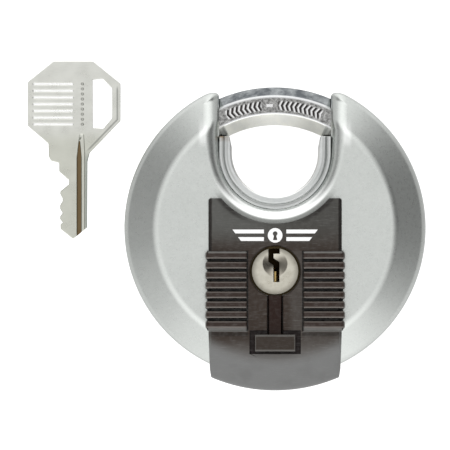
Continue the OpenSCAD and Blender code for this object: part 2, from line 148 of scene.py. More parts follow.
class Builder:
    def __init__(self):
        self.v, self.n, self.f = [], [], []

    def add(self, p, n):
        self.v.append((p[0], p[1], p[2]))
        self.n.append((n[0], n[1], n[2]))
        return len(self.v) - 1

    def strip(self, a, b, closed=False):
        m = len(a)
        for i in range(m if closed else m - 1):
            j = (i + 1) % m
            self.f.append((a[i], a[j], b[j], b[i]))

    def make(self, name, mirror_z=None, wall=None):
        """One vertex per place, a stated normal per face corner. wall closes an open skin into a sheet of that thickness."""
        v = np.array(self.v, float)
        n = np.array(self.n, float)
        if mirror_z is not None:
            v[:, 2] = mirror_z - v[:, 2]
            n[:, 2] = -n[:, 2]
        kd = kdtree.KDTree(len(v))
        for i, p in enumerate(v):
            kd.insert(p, i)
        kd.balance()
        home = list(range(len(v)))
        for i, p in enumerate(v):
            if home[i] == i:
                for _, j, _ in kd.find_range(p, 2e-4):
                    if j > i and home[j] == j:
                        home[j] = i
        keep = sorted(set(home))
        slot = {h: i for i, h in enumerate(keep)}
        pts = v[keep]
        faces, corners = [], []
        for q in self.f:
            ids = [slot[home[i]] for i in q]
            use = [i for i in range(len(ids)) if ids[i] != ids[i - 1]]
            ids, ns = [ids[i] for i in use], [n[q[i]] for i in use]
            if len(set(ids)) < 3:
                continue
            c = pts[ids]
            g = np.cross(c, np.roll(c, -1, axis=0)).sum(0)
            if np.linalg.norm(g) < 1e-9:
                continue
            if g @ np.sum(ns, axis=0) < 0:
                ids, ns = ids[::-1], ns[::-1]
            faces.append(ids)
            corners.append(ns)
        used = sorted({i for ids in faces for i in ids})
        place = {o: i for i, o in enumerate(used)}
        pts = pts[used]
        faces = [[place[i] for i in ids] for ids in faces]
        if wall:
            out = np.zeros(pts.shape)
            for ids, ns in zip(faces, corners):
                for i, m in zip(ids, ns):
                    out[i] += m / np.linalg.norm(m)
            out /= np.linalg.norm(out, axis=1)[:, None]
            near = np.abs(pts[:, 2] - MIDZ) < 0.5
            depth = np.where(near & (np.abs(out[:, 2]) > 0.5) & (np.abs(pts[:, 2] - MIDZ) < 1e-3), wall - 0.3, wall)
            out[near, 2] = 0.0
            out /= np.linalg.norm(out, axis=1)[:, None]
            off = len(pts)
            back = pts - depth[:, None] * out
            # the openings for the shackle follow the bar's arc through the sheet
            r = np.hypot(pts[:, 0], pts[:, 1])
            hole = (np.abs(np.abs(pts[:, 0]) - U0) < 1e-6) & (np.abs(out[:, 0]) > 0.999) & (r > 23.4) & (r < 33.15) & (np.abs(pts[:, 2] - MIDZ) < 4.85)
            back[hole, 1] = np.sqrt(r[hole] ** 2 - back[hole, 0] ** 2)
            pts = np.vstack([pts, back])
            sides = {(ids[i - 1], ids[i]) for ids in faces for i in range(len(ids))}
            inner = [([i + off for i in ids[::-1]], [-m for m in ns[::-1]]) for ids, ns in zip(faces, corners)]
            rim = [(b, a, a + off, b + off) for a, b in sorted(sides) if (b, a) not in sides]
            for ids, ns in inner:
                faces.append(ids)
                corners.append(ns)
            for q in rim:
                c = pts[list(q)]
                g = np.cross(c[2] - c[0], c[3] - c[1])
                faces.append(list(q))
                corners.append([g / np.linalg.norm(g)] * 4)
        mesh = bpy.data.meshes.new(name)
        mesh.from_pydata((pts * MM).tolist(), [], faces)
        mesh.update()
        mesh.polygons.foreach_set("use_smooth", [True] * len(mesh.polygons))
        mesh.normals_split_custom_set([tuple(float(x) for x in m / np.linalg.norm(m)) for ns in corners for m in ns])
        obj = bpy.data.objects.new(name, mesh)
        bpy.context.scene.collection.objects.link(obj)
        return obj


def build_shell(name, plug_hole, mirror):
    b = Builder()
    levels = [1.0, 0.992, 0.975, 0.95, 0.91, 0.85, 0.77, 0.67, 0.56, 0.44, 0.31, 0.17, 0.0]
    loops = [contour(k) for k in levels]
    idx = []
    for k, loop in zip(levels, loops):
        row = []
        for x, y, nv, kind in loop:
            if k == 1.0:
                row.append(b.add((x, y, surf(x, y)), (nv[0], nv[1], 0)))
            else:
                row.append(b.add((x, y, surf(x, y)), normal_at(x, y)))
        idx.append(row)
    for r0, r1 in zip(idx, idx[1:]):
        b.strip(r0, r1, closed=True)
    # flat face and bevel inside the last loop
    inner = loops[-1]
    vs, es = [], []
    seen = {}

    def put(x, y):
        key = (round(x, 5), round(y, 5))
        if key not in seen:
            seen[key] = len(vs)
            vs.append(Vector((x, y)))
        return seen[key]

    ring = [put(p[0], p[1]) for p in inner]
    for i in range(len(ring)):
        if ring[i] != ring[(i + 1) % len(ring)]:
            es.append((ring[i], ring[(i + 1) % len(ring)]))
    t0, t1 = FACE - RT, FACE - RT + RCR * sin(BEV)
    radii = [t0 + (t1 - t0) * i / 6 for i in range(7)] + [29.3, 30.4, 31.5, 32.4] + [6 + 3 * i for i in range(7)]
    for r in radii:
        prev = None
        for i in range(361):
            a = 2 * pi * i / 360
            x, y = r * cos(a), r * sin(a)
            if s_of(x, y) > rh(y) + 0.02:
                k = put(x, y)
                if prev is not None and prev != k:
                    es.append((prev, k))
                prev = k
            else:
                prev = None
    if plug_hole:
        c = [put(5.85 * cos(2 * pi * i / 96), -10 + 5.85 * sin(2 * pi * i / 96)) for i in range(96)]
        es += [(c[i], c[(i + 1) % 96]) for i in range(96)]
    rv, re_, rf, *_ = geometry.delaunay_2d_cdt(vs, es, [], 0, 1e-5)
    base = [b.add((p.x, p.y, H0(p.length)), normal_at(p.x, p.y)) for p in rv]
    for f in rf:
        cx = sum(rv[i].x for i in f) / 3
        cy = sum(rv[i].y for i in f) / 3
        if math.hypot(cx, cy) > ZR0 or s_of(cx, cy) < rh(cy) - 1e-3:
            continue
        if plug_hole and math.hypot(cx, cy + 10) < 5.85:
            continue
        b.f.append(tuple(base[i] for i in f))
    # walls
    outline = loops[0]
    first_rim = next(i for i, p in enumerate(outline) if p[3] == "corner")
    rim = [i for i in range(first_rim - 1, len(outline))] + [0]
    top = [b.add((outline[i][0], outline[i][1], surf(outline[i][0], outline[i][1])), (outline[i][2][0], outline[i][2][1], 0)) for i in rim]
    low = [b.add((outline[i][0], outline[i][1], MIDZ + 0.32), (outline[i][2][0], outline[i][2][1], 0)) for i in rim]
    b.strip(top, low)
    l1 = [b.add((outline[i][0], outline[i][1], MIDZ + 0.32), (outline[i][2][0] * 0.8, outline[i][2][1] * 0.8, -0.6)) for i in rim]
    cut = [0.0 if i in (rim[0], rim[-1]) else 0.3 for i in rim]
    l2 = [b.add((outline[i][0] - c * outline[i][2][0], outline[i][1] - c * outline[i][2][1], MIDZ), (outline[i][2][0] * 0.6, outline[i][2][1] * 0.6, -0.8)) for i, c in zip(rim, cut)]
    b.strip(l1, l2)
    arc = [i for i, p in enumerate(outline) if p[3] == "arc"]
    top = [b.add((outline[i][0], outline[i][1], surf(outline[i][0], outline[i][1])), (outline[i][2][0], outline[i][2][1], 0)) for i in arc]
    low = [b.add((outline[i][0], outline[i][1], MIDZ), (outline[i][2][0], outline[i][2][1], 0)) for i in arc]
    b.strip(top, low)
    # straight sides with the opening that the shackle passes through
    k = 9.55 / 8.85
    prof = [(28.3 + k * a, k * c) for a, c in ((4.425, 0), (4.425, 1.75), (2.3, 4.425), (-1.8, 4.425), (-4.425, 1.8), (-4.425, 0))]
    fine = []
    for (r0, z0), (r1, z1) in zip(prof, prof[1:]):
        for i in range(6):
            fine.append((r0 + (r1 - r0) * i / 6, z0 + (z1 - z0) * i / 6))
    fine.append(prof[-1])
    y_end = math.sqrt(ZR0 ** 2 - U0 ** 2)
    for sx in (-1, 1):
        ys = [y_end + (UY - y_end) * i / 26 for i in range(27)]
        nrm = (-sx, 0, 0)
        x = sx * U0
        poly = [b.add((x, y, surf(x, y)), nrm) for y in ys]
        poly.append(b.add((x, UY, MIDZ), nrm))
        hole = [(math.sqrt(r * r - U0 * U0), MIDZ + z) for r, z in reversed(fine)]
        poly += [b.add((x, y, z), nrm) for y, z in hole]
        poly.append(b.add((x, y_end, MIDZ), nrm))
        poly.append(b.add((x, y_end, MIDZ + 0.32), nrm))
        b.f.append(tuple(poly))
    return b.make(name, mirror_z=TOPZ if mirror else None, wall=1.3)


shell_f = build_shell("shell_front_pressed", True, False)
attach(shell_f, "lock_body"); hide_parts("front_shell")
shell_r = build_shell("shell_rear_pressed", False, True)
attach(shell_r, "lock_body"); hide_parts("rear_shell")


# ------------------------------------------------------------------ shackle
def build_shackle():
    rc, rr = 28.3, 0.5
    corners = [(4.425, -1.75), (4.425, 1.75), (2.3, 4.425), (-1.8, 4.425), (-4.425, 1.8), (-4.425, -1.8), (-1.8, -4.425), (2.3, -4.425)]
    ways = [(Vector(corners[i]) - Vector(corners[i - 1])).normalized() for i in range(8)]
    backs = [rr * math.tan(ways[i].angle(ways[(i + 1) % 8]) / 2) for i in range(8)]
    prof = []
    for i, (x, y) in enumerate(corners):
        px, py = corners[i - 1]
        qx, qy = corners[(i + 1) % 8]
        l0, l1 = math.hypot(x - px, y - py), math.hypot(qx - x, qy - y)
        d0, d1 = ((x - px) / l0, (y - py) / l0), ((qx - x) / l1, (qy - y) / l1)
        n0, n1 = (d0[1], -d0[0]), (d1[1], -d1[0])
        turn = math.acos(max(-1.0, min(1.0, n0[0] * n1[0] + n0[1] * n1[1])))
        back = rr * math.tan(turn / 2)
        cx, cy = x - d0[0] * back - n0[0] * rr, y - d0[1] * back - n0[1] * rr
        prev_back = backs[i - 1]
        for t in (0.0, 0.25, 0.5, 0.75):
            e = prev_back + (l0 - prev_back - back) * t
            prof.append((px + d0[0] * e, py + d0[1] * e, n0[0], n0[1]))
        b0 = math.atan2(n0[1], n0[0])
        for j in range(5):
            g = b0 + turn * j / 4
            prof.append((cx + rr * cos(g), cy + rr * sin(g), cos(g), sin(g)))
    b = Builder()
    a0, a1 = -20.0, 129.0
    n = 149
    rows = []
    ch = math.degrees(0.5 / 28.3)
    steps = [(a0, 0.9, -1), (a0 + ch, 1.0, 0)] + [(a0 + ch + (a1 - a0 - 2 * ch) * i / n, 1.0, 0) for i in range(n + 1)] + [(a1 - ch, 1.0, 0), (a1, 0.9, 1)]
    caps = []
    for a, k, end in steps:
        ar = math.radians(a)
        ca, sa = cos(ar), sin(ar)
        row = []
        for p, z, pn, zn in prof:
            r = rc + p * k
            if end:
                nn = Vector((pn * ca - end * sa, pn * sa + end * ca, zn)).normalized()
            else:
                nn = (pn * ca, pn * sa, zn)
            row.append(b.add((r * ca, r * sa, MIDZ + z * k), nn))
        rows.append(row)
    lo = next(i for i, s in enumerate(steps) if s[0] > 64.0)
    hi = next(i for i, s in enumerate(steps) if s[0] > 117.0)
    for i, (r0, r1) in enumerate(zip(rows, rows[1:])):
        if lo <= i < hi:
            b.strip(r0[:27], r1[:27])
            b.strip(r0[31:] + r0[:1], r1[31:] + r1[:1])
        else:
            b.strip(r0, r1, closed=True)
    # the front flat between those rows, with two rows of slanted strokes and a dash stamped into it
    zf = MIDZ + 4.425
    edge = [rows[i][26] for i in range(lo, hi + 1)] + rows[hi][28:31] + [rows[i][31] for i in range(hi, lo - 1, -1)] + rows[lo][30:27:-1]
    flat = [Vector((b.v[i][0], b.v[i][1])) for i in edge]
    shapes = [list(range(len(flat)))]
    for c in list(range(32, 41)) + list(range(45, 53)):
        shapes.append(list(range(len(flat), len(flat) + 6)))
        for f, off in ((0.21, -1.1), (0.21, 0.0), (0.21, 1.1), (0.605, 1.1), (0.605, 0.0), (0.605, -1.1)):
            g = math.radians((c + f) * 2.15 - 0.9 * abs(off))
            flat.append(Vector(((rc + 0.2 + off) * cos(g), (rc + 0.2 + off) * sin(g))))
    shapes.append(list(range(len(flat), len(flat) + 4)))
    for a, off in ((-1.5, -0.32), (-1.5, 0.32), (1.5, 0.32), (1.5, -0.32)):
        g = math.radians(92.5 + a)
        flat.append(Vector(((rc + 0.2 + off) * cos(g), (rc + 0.2 + off) * sin(g))))
    rv, _, rf, _, _, of_ = geometry.delaunay_2d_cdt(flat, [], shapes, 1, 1e-6)
    top = [b.add((p.x, p.y, zf), (0, 0, 1)) for p in rv]
    for f, src in zip(rf, of_):
        if list(src) == [0]:
            b.f.append(tuple(top[i] for i in f))
    for shape in shapes[1:]:
        q = [flat[i] for i in shape]
        area = sum(q[i - 1].cross(q[i]) for i in range(len(q)))
        b.f.append(tuple(b.add((p.x, p.y, zf - 0.15), (0, 0, 1)) for p in q))
        for i in range(len(q)):
            p0, p1 = q[i - 1], q[i]
            e = (p1 - p0).normalized()
            m = (-e.y, e.x, 0) if area > 0 else (e.y, -e.x, 0)
            b.f.append((b.add((p0.x, p0.y, zf), m), b.add((p1.x, p1.y, zf), m), b.add((p1.x, p1.y, zf - 0.15), m), b.add((p0.x, p0.y, zf - 0.15), m)))
    for a, end in ((a0, -1), (a1, 1)):
        ar = math.radians(a)
        ca, sa = cos(ar), sin(ar)
        b.f.append(tuple(b.add(((rc + p * 0.9) * ca, (rc + p * 0.9) * sa, MIDZ + z * 0.9), (-end * sa, end * ca, 0)) for p, z, _, _ in prof))
    return b.make("shackle_bar")


sh = build_shackle()
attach(sh, "shackle_assembly"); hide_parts("shackle")


# ------------------------------------------------------------------ CAD copies with rounded edges
def rounded(node, name, width, body, segments=2, angle=28, flatten=True):
    src = N[node]
    mesh = src.data.copy()
    mesh.name = name
    bm = bmesh.new()
    bm.from_mesh(mesh)
    bmesh.ops.remove_doubles(bm, verts=bm.verts, dist=2e-7)
    if flatten:
        bmesh.ops.dissolve_limit(bm, angle_limit=math.radians(0.4), verts=bm.verts, edges=bm.edges)
    bm.to_mesh(mesh)
    bm.free()
    if mesh.has_custom_normals:
        mesh.attributes.remove(mesh.attributes["custom_normal"]) if "custom_normal" in mesh.attributes else None
    mesh.materials.clear()
    obj = bpy.data.objects.new(name, mesh)
    bpy.context.scene.collection.objects.link(obj)
    mod = obj.modifiers.new("round", "BEVEL")
    mod.width = width * MM
    mod.segments = segments
    mod.limit_method = "ANGLE"
    mod.angle_limit = math.radians(angle)
    mod.use_clamp_overlap = False
    mod.harden_normals = False
    mod.miter_outer = "MITER_ARC"
    mesh.polygons.foreach_set("use_smooth", [True] * len(mesh.polygons))
    mesh.set_sharp_from_angle(angle=math.radians(35))
    wn = obj.modifiers.new("wn", "WEIGHTED_NORMAL")
    wn.keep_sharp = True
    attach(obj, body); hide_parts(node)
    return obj


cover = rounded("front_cover", "cover_moulding", 0.16, "lock_body", flatten=False)
shutter = rounded("keyway_shutter", "shutter_slider", 0.14, "shutter", flatten=False)
keyo = rounded("key", "key_flat", 0.16, "loose_key", flatten=False)
liner = rounded("throat_liner", "liner_u", 0.18, "lock_body")


def build_pips():
    """The row of small raised pips between the bars and the ring hole of the key."""
    b = Builder()
    for i in range(9):
        y = 24.19 + 1.18 * i
        rings = []
        for r, z, nz in ((0.37, 1.97, 0.0), (0.37, 2.02, 0.2), (0.33, 2.07, 0.7), (0.22, 2.10, 0.95)):
            rings.append([b.add((-44.9 + r * cos(pi * j / 10), y + r * sin(pi * j / 10), z), (cos(pi * j / 10), sin(pi * j / 10), nz)) for j in range(20)])
        for r0, r1 in zip(rings, rings[1:]):
            b.strip(r0, r1, closed=True)
        b.f.append(tuple(b.add(b.v[q], (0, 0, 1)) for q in rings[-1]))
        b.f.append(tuple(b.add(b.v[q], (0, 0, -1)) for q in rings[0]))
    return b.make("key_pips")


pips = build_pips()
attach(pips, "loose_key")
plug = N["plug"]


# ------------------------------------------------------------------ materials
class Nodes:
    """Small helper to write a node tree."""

    def __init__(self, name):
        self.m = bpy.data.materials.new(name)
        self.m.use_nodes = True
        self.t = self.m.node_tree
        self.t.nodes.clear()
        self.out = self.t.nodes.new("ShaderNodeOutputMaterial")
        self.b = self.t.nodes.new("ShaderNodeBsdfPrincipled")
        self.t.links.new(self.b.outputs[0], self.out.inputs[0])
        tc = self.t.nodes.new("ShaderNodeTexCoord")
        sc = self.t.nodes.new("ShaderNodeVectorMath")
        sc.operation = "SCALE"
        sc.inputs["Scale"].default_value = 1000.0      # millimetres
        self.t.links.new(tc.outputs["Object"], sc.inputs[0])
        self.co = sc.outputs[0]

    def link(self, a, b):
        self.t.links.new(a, b)

    def set(self, sock, v):
        if hasattr(v, "links") or hasattr(v, "is_linked"):
            self.t.links.new(v, sock)
        else:
            sock.default_value = v

    def math(self, op, a, b=0.0, c=None, clamp=False):
        n = self.t.nodes.new("ShaderNodeMath")
        n.operation = op
        n.use_clamp = clamp
        self.set(n.inputs[0], a)
        self.set(n.inputs[1], b)
        if c is not None:
            self.set(n.inputs[2], c)
        return n.outputs[0]

    def xyz(self, v=None):
        n = self.t.nodes.new("ShaderNodeSeparateXYZ")
        self.link(v or self.co, n.inputs[0])
        return n.outputs

    def scaled(self, s, off=(0, 0, 0)):
        n = self.t.nodes.new("ShaderNodeMapping")
        self.link(self.co, n.inputs[0])
        n.inputs["Scale"].default_value = s
        n.inputs["Location"].default_value = off
        return n.outputs[0]

    def noise(self, scale, detail=2.0, rough=0.5, vec=None, distort=0.0):
        n = self.t.nodes.new("ShaderNodeTexNoise")
        self.link(vec or self.co, n.inputs["Vector"])
        n.inputs["Scale"].default_value = scale
        n.inputs["Detail"].default_value = detail
        n.inputs["Roughness"].default_value = rough
        n.inputs["Distortion"].default_value = distort
        return n.outputs["Fac"]

    def ramp(self, v, stops):
        n = self.t.nodes.new("ShaderNodeValToRGB")
        self.link(v, n.inputs[0])
        e = n.color_ramp.elements
        while len(e) > 1:
            e.remove(e[-1])
        e[0].position, e[0].color = stops[0][0], (*[stops[0][1]] * 3, 1) if isinstance(stops[0][1], float) else (*stops[0][1], 1)
        for p, c in stops[1:]:
            k = e.new(p)
            k.color = (c, c, c, 1) if isinstance(c, float) else (*c, 1)
        return n.outputs[0]

    def mix(self, f, a, b):
        n = self.t.nodes.new("ShaderNodeMix")
        n.data_type = "RGBA"
        self.set(n.inputs[0], f)
        self.set(n.inputs[6], (*a, 1) if isinstance(a, tuple) else a)
        self.set(n.inputs[7], (*b, 1) if isinstance(b, tuple) else b)
        return n.outputs[2]

    def mapr(self, v, a, b, c, d, smooth=False):
        n = self.t.nodes.new("ShaderNodeMapRange")
        if smooth:
            n.interpolation_type = "SMOOTHSTEP"
        self.set(n.inputs[0], v)
        for i, x in enumerate((a, b, c, d)):
            n.inputs[i + 1].default_value = x
        return n.outputs[0]

    def bump(self, h, dist_mm, strength=1.0, normal=None):
        n = self.t.nodes.new("ShaderNodeBump")
        n.inputs["Strength"].default_value = strength
        n.inputs["Distance"].default_value = dist_mm * MM
        self.link(h, n.inputs["Height"])
        if normal is not None:
            self.link(normal, n.inputs["Normal"])
        return n.outputs[0]

    def bevel(self, r_mm):
        n = self.t.nodes.new("ShaderNodeBevel")
        n.samples = 6
        n.inputs["Radius"].default_value = r_mm * MM
        return n.outputs[0]

    def finish(self, color, rough, metal, normal=None, spec=0.5):
        self.set(self.b.inputs["Base Color"], (*color, 1) if isinstance(color, tuple) else color)
        self.set(self.b.inputs["Roughness"], rough)
        self.set(self.b.inputs["Metallic"], metal)
        self.b.inputs["Specular IOR Level"].default_value = spec
        if normal is not None:
            self.link(normal, self.b.inputs["Normal"])
        return self.m


def satin_metal(name, lo, hi, r0, r1, grain=7.0, grain_mm=0.004, blotch=0.12, scratch=0.35, edge=0.0, grit=0.0, painted_light_and_stain=None):
    k = Nodes(name)
    big = k.noise(blotch, 3.0, 0.55)
    mid = k.noise(1.1, 4.0, 0.6)
    fine = k.noise(grain, 2.0, 0.6)
    s1 = k.noise(1.0, 3.0, 0.5, k.scaled((0.25, 9.0, 1.5)))
    s2 = k.noise(1.0, 3.0, 0.5, k.scaled((8.0, 0.3, 1.2), (3.1, 0.7, 0)))
    scr = k.math("MAXIMUM", k.ramp(s1, [(0.0, 0.0), (0.68, 0.0), (0.74, 1.0)]), k.ramp(s2, [(0.0, 0.0), (0.69, 0.0), (0.75, 1.0)]))
    scr = k.math("MULTIPLY", scr, scratch)
    tone = k.math("ADD", k.math("MULTIPLY", big, 0.55), k.math("MULTIPLY", mid, 0.45))
    col = k.mix(k.mapr(tone, 0.35, 0.65, 0.0, 1.0), lo, hi)
    col = k.mix(k.math("MULTIPLY", scr, 0.25), col, tuple(min(1.0, x * 1.2) for x in hi))
    if grit:
        # blasted surface: fine bright and dark specks
        spk = k.noise(2.6, 2.0, 0.7)
        col = k.mix(k.mapr(spk, 0.30, 0.50, grit * 2.2, 0.0), col, (0.40, 0.41, 0.40))
        col = k.mix(k.mapr(spk, 0.52, 0.72, 0.0, grit * 2.2), col, (0.86, 0.88, 0.86))
    if painted_light_and_stain:
        o = k.xyz()
        if painted_light_and_stain == "liner":
            # painted shade in the groove between the liner and the rolled edge
            dy = k.math("MINIMUM", k.math("SUBTRACT", o[1], 17.35), 0.0)
            rt = k.math("SQRT", k.math("ADD", k.math("MULTIPLY", o[0], o[0]), k.math("MULTIPLY", dy, dy)))
            g = k.ramp(k.mapr(rt, 11.5, 13.5, 0.0, 1.0), [(0.0, 0.0), (0.22, 0.0), (0.30, 0.58), (0.40, 0.50), (0.50, 0.10), (1.0, 0.05)])
            g = k.math("MULTIPLY", g, k.math("LESS_THAN", k.math("ABSOLUTE", k.math("SUBTRACT", o[2], 13.0)), 11.3))
            col = k.mix(g, col, (0.19, 0.195, 0.185))
            # painted highlight along the liner's inner edge at the throat
            col = k.mix(k.mapr(rt, 10.30, 10.45, 0.9, 0.0), col, (0.97, 0.97, 0.95))
            # faint wear line down both legs, brown stain under the left end of the shackle
            leg = k.math("MULTIPLY", k.mapr(k.math("ABSOLUTE", k.math("SUBTRACT", rt, 11.15)), 0.10, 0.30, 1.0, 0.0, True), k.mapr(o[1], 9.0, 13.0, 0.0, 0.40, True))
            col = k.mix(leg, col, (0.22, 0.225, 0.215))
            rust = k.math("MULTIPLY", k.mapr(o[1], 19.6, 21.6, 0.0, 1.0, True), k.math("MULTIPLY", k.mapr(o[0], -9.2, -10.6, 0.0, 1.0, True), k.math("GREATER_THAN", o[2], 20.0)))
            rust = k.math("MULTIPLY", rust, k.mapr(k.noise(0.9, 4.0, 0.65, None), 0.40, 0.60, 0.25, 0.95))
            col = k.mix(rust, col, (0.23, 0.155, 0.085))
        elif painted_light_and_stain == "shell":
            # painted shade on the face along the cover's curved edge
            dy = k.math("SUBTRACT", o[1], 17.35)
            rt = k.math("SQRT", k.math("ADD", k.math("MULTIPLY", o[0], o[0]), k.math("MULTIPLY", dy, dy)))
            g = k.math("MULTIPLY", k.mapr(rt, 15.05, 15.55, 0.0, 1.0, True), k.mapr(rt, 16.4, 17.0, 1.0, 0.0, True))
            g = k.math("MULTIPLY", g, k.math("MULTIPLY", k.mapr(o[1], 9.5, 5.5, 0.0, 0.66, True), k.math("GREATER_THAN", o[2], 13.0)))
            col = k.mix(g, col, (0.20, 0.205, 0.195))
            # painted shade on the face under the cover, where it only shows through the slot of the shutter
            hid = k.math("MULTIPLY", k.math("LESS_THAN", k.math("ABSOLUTE", o[0]), 5.5), k.math("MULTIPLY", k.math("LESS_THAN", o[1], -15.9), k.math("GREATER_THAN", o[1], -29.0)))
            hid = k.math("MULTIPLY", hid, k.math("GREATER_THAN", o[2], 20.0))
            col = k.mix(k.math("MULTIPLY", hid, 0.9), col, (0.035, 0.033, 0.031))
            # painted highlight on the rolled edge, most of all under the throat and on the shoulders
            ey = k.math("MINIMUM", dy, 0.0)
            d = k.math("SQRT", k.math("ADD", k.math("MULTIPLY", o[0], o[0]), k.math("MULTIPLY", ey, ey)))
            low_ = k.math("MULTIPLY", k.mapr(d, 15.0, 15.6, 1.0, 0.0, True), k.mapr(o[1], 6.0, 13.0, 0.88, 0.0, True))
            top_ = k.mapr(k.math("ABSOLUTE", k.math("SUBTRACT", d, 16.75)), 0.30, 1.35, 0.70, 0.0, True)
            top_ = k.math("MULTIPLY", top_, k.math("MULTIPLY", k.mapr(o[1], 18.2, 20.8, 0.0, 1.0, True), k.mapr(o[1], 26.0, 21.8, 0.0, 1.0, True)))
            col = k.mix(k.math("MAXIMUM", low_, top_), col, (0.97, 0.985, 0.97))
        else:
            # painted shade on the front of the brass housing, seen in the gap round the plug
            g = k.mapr(o[2], 23.2, 23.45, 0.0, 0.93, True)
            col = k.mix(g, col, (0.012, 0.010, 0.008))
    rough = k.math("ADD", k.mapr(k.math("ADD", k.math("MULTIPLY", mid, 0.6), k.math("MULTIPLY", fine, 0.4)), 0.3, 0.7, r0, r1), k.math("MULTIPLY", scr, -0.06))
    h = k.math("ADD", fine, k.math("MULTIPLY", scr, -0.8))
    nrm = k.bump(h, grain_mm, 1.0, k.bevel(edge) if edge else None)
    return k.finish(col, rough, 1.0, nrm)


M = {}
M["stainless_shell"] = satin_metal("stainless", (0.61, 0.635, 0.612), (0.65, 0.672, 0.65), 0.26, 0.31, edge=0.0, grit=0.05, scratch=0.15, painted_light_and_stain="shell")
M["liner_steel"] = satin_metal("liner", (0.58, 0.60, 0.595), (0.66, 0.675, 0.665), 0.30, 0.42, edge=0.12, painted_light_and_stain="liner")
M["core_casting"] = satin_metal("casting", (0.30, 0.305, 0.31), (0.42, 0.42, 0.43), 0.45, 0.6, grain=3.0, grain_mm=0.03, edge=0.2)
M["dark_fasteners"] = satin_metal("fasteners", (0.05, 0.05, 0.055), (0.10, 0.10, 0.105), 0.35, 0.5, edge=0.1)
M["hard_steel"] = satin_metal("hardened", (0.26, 0.26, 0.275), (0.38, 0.375, 0.37), 0.28, 0.42, edge=0.1)
M["brass_body"] = satin_metal("brass", (0.62, 0.44, 0.17), (0.74, 0.55, 0.25), 0.25, 0.38, edge=0.1, painted_light_and_stain="brass")
M["pin_brass"] = satin_metal("brass_pin", (0.66, 0.47, 0.18), (0.78, 0.58, 0.27), 0.22, 0.34, edge=0.08)
M["pin_steel"] = satin_metal("steel_pin", (0.48, 0.48, 0.49), (0.58, 0.58, 0.58), 0.22, 0.34, edge=0.08)
M["spring_wire"] = satin_metal("spring", (0.48, 0.48, 0.49), (0.62, 0.61, 0.60), 0.2, 0.3)


